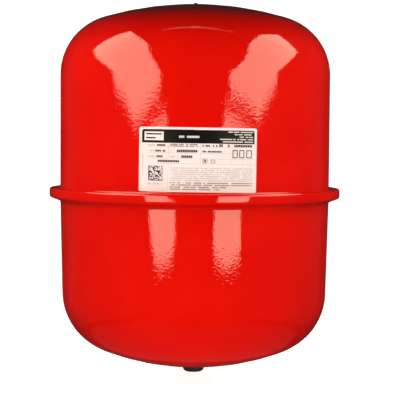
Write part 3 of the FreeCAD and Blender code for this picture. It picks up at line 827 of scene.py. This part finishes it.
light_panel("left_panel", (
    (-99.4, 29.9), (-96.7, 43), (-92, 58.9), (-46, 45.8), (-34.5, 24.4), (-27.3, 7.4),
    (-25.7, 6.7), (-30.7, 5.9), (-36.8, 4.7), (-41.8, 4), (-48.6, 3.5), (-55.7, 5.3),
    (-66.6, 6.8), (-88.7, 22)), PANEL_BRIGHTNESS)
light_panel("left_low_panel", (
    (-36.8, 2.6), (-33.1, 3.2), (-29.5, 3.8), (-22.4, 4.2), (-20.7, 2.2), (-15, -6.3),
    (-14.4, -7.9), (-17.3, -9.8), (-30, -10.9), (-33.4, -8.7), (-35.8, -6.3)),
    PANEL_BRIGHTNESS)
light_panel("right_panel", (
    (83.8, 56.2), (102.2, 51), (98.1, 29.5), (87.4, 23.7), (66.5, 6.9), (53.3, 4.6),
    (50.7, 3.9), (41.7, 5.1), (28.5, 6), (25.7, 6.9), (30.7, 8), (40.7, 25.3),
    (52.7, 46.3)), PANEL_BRIGHTNESS)
light_panel("right_low_panel", (
    (23.5, 4.6), (33.5, 3.8), (45.7, 2.7), (41, -1), (36, -6.3), (37.2, -8.6), (34.5, -11.2),
    (24.5, -10.7), (15.6, -9.7), (14.8, -8.1), (15.4, -6.3), (20.9, 2.2)), PANEL_BRIGHTNESS)
light_panel("front_card", ((-43, -9), (43, -9), (43, -33), (-43, -33)), CARD_BRIGHTNESS)
light_panel("overhead_strip", ((-60, 68), (-3, 82.2), (57, 66), (57, 66.6), (-3, 83.0),
                               (-60, 68.6)), STRIP_BRIGHTNESS)
print("panels", PANEL_DISTANCE, "m from the vessel's middle")

# %% [markdown]
# ## Fills and a flag
# A panel's brightness is set by its mirror image, and leaves the coat's own colour too dark at
# the sides and below. Area lights fill that in. They are hidden from mirror images, so they add
# no patches. A flag is a studio's word for a dark card that keeps light off: this one lies over
# the crown, which should fall off into shade towards the top.

# %% Fills and flag
def soft_light(name, place, width, height, brightness):
    """Area light at a matrix, as bright for each square metre whatever its size."""
    light = bpy.data.lights.new(name, "AREA")
    light.shape, light.size, light.size_y = "RECTANGLE", width, height
    light.energy = brightness * pi * width * height
    lamp = bpy.data.objects.new(name, light)
    lamp.matrix_world = place
    lamp.visible_camera = lamp.visible_glossy = False
    bpy.context.scene.collection.objects.link(lamp)


def floor_card(name, near, far, width, brightness):
    """Light that lies on the floor before the vessel, for the floor's bounce."""
    place = Matrix.Translation((0, -(near + far) / 2, FLOOR_Z * MM + 0.001))
    soft_light(name, place @ Matrix.Rotation(pi, 4, "X"), width, far - near, brightness)


def side_fill(name, bearing, brightness):
    """Soft light a little above the vessel's middle, that faces it."""
    place = toward(bearing, 10)
    aim = (MIDDLE - place).to_track_quat("-Z", "Y").to_matrix().to_4x4()
    soft_light(name, Matrix.Translation(place) @ aim, 0.5, 0.8, brightness)


floor_card("near_bounce", -0.15, 0.30, 0.26, 1.35)
floor_card("far_bounce", 0.30, 1.00, 0.4, 2.3)
side_fill("left_fill", -66, 5.2)
side_fill("right_fill", 60, 4.2)

FLAG_RADIUS, FLAG_GAP, FLAG_CARD = 200.0, 20.4, 1.0
flag_low = box_mm("dust_cap")[1].z + FLAG_GAP
flag_high = flag_low + FLAG_CARD
flag = turned("overhead_flag", np.array([[0, flag_low], [FLAG_RADIUS, flag_low],
                                         [FLAG_RADIUS, flag_high], [0, flag_high]]),
              48, closed=False)
dress(flag, Finish("flag_cloth", (0.02, 0.02, 0.02), 0.9).material)
flag.visible_camera = flag.visible_glossy = False
print("flag at", round(flag_low, 1), "mm")

# %% [markdown]
# ## The room
# Where the coat mirrors no panel it mirrors the room. The room is nearly black in front, so the
# red between the patches stays deep, and a little lighter at the sides and below, which gives the
# vessel's outline its faint rims.

# %% Room
world = bpy.data.worlds.new("studio")
bpy.context.scene.world = world
world.use_nodes = True
room = world.node_tree
direction = room.nodes.new("ShaderNodeSeparateXYZ")
plug(room, direction.inputs[0], add_node(room, "TexCoord"))
across, up = [Signal(room, direction.outputs[i]) for i in (0, 2)]
low = add_node(room, "MapRange", Value=up, From_Min=-0.60, From_Max=-0.50,
               To_Min=0.07, To_Max=0.0)
side = add_node(room, "MapRange", Value=across.math("ABSOLUTE"), From_Min=0.60,
                From_Max=0.72, To_Min=0.02, To_Max=0.05)
background = room.nodes["Background"]
plug(room, background.inputs["Strength"], low + side * (up > -0.5))
background.inputs["Color"].default_value = (1, 1, 1, 1)
print("room has", len(room.nodes), "nodes")

# %% [markdown]
# ## The camera
# The camera stands 1.4 m before the vessel, a little above the seam, and looks slightly down with
# a long lens, as for a catalogue. The plain view transform keeps the red saturated.

# %% Camera
DISTANCE, RISE, DOWN, LEAN = 1.4, 0.0662, 0.0529, 0.0069
LENS, SENSOR, SIDE_SHIFT, FAR_CLIP = 112.2, 36.0, 0.0138, 20.0
camera_data = bpy.data.cameras.new("camera")
camera_data.lens, camera_data.sensor_width = LENS, SENSOR
camera_data.shift_x = SIDE_SHIFT
camera_data.clip_end = FAR_CLIP
camera = bpy.data.objects.new("camera", camera_data)
camera.matrix_world = (Matrix.Translation((0, -DISTANCE, SEAM_Z * MM + RISE))
                       @ Matrix.Rotation(pi / 2 - DOWN, 4, "X") @ Matrix.Rotation(LEAN, 4, "Z"))
bpy.context.scene.collection.objects.link(camera)
bpy.context.scene.camera = camera
bpy.context.scene.view_settings.view_transform = "Standard"
print("camera lens", camera_data.lens, "mm")
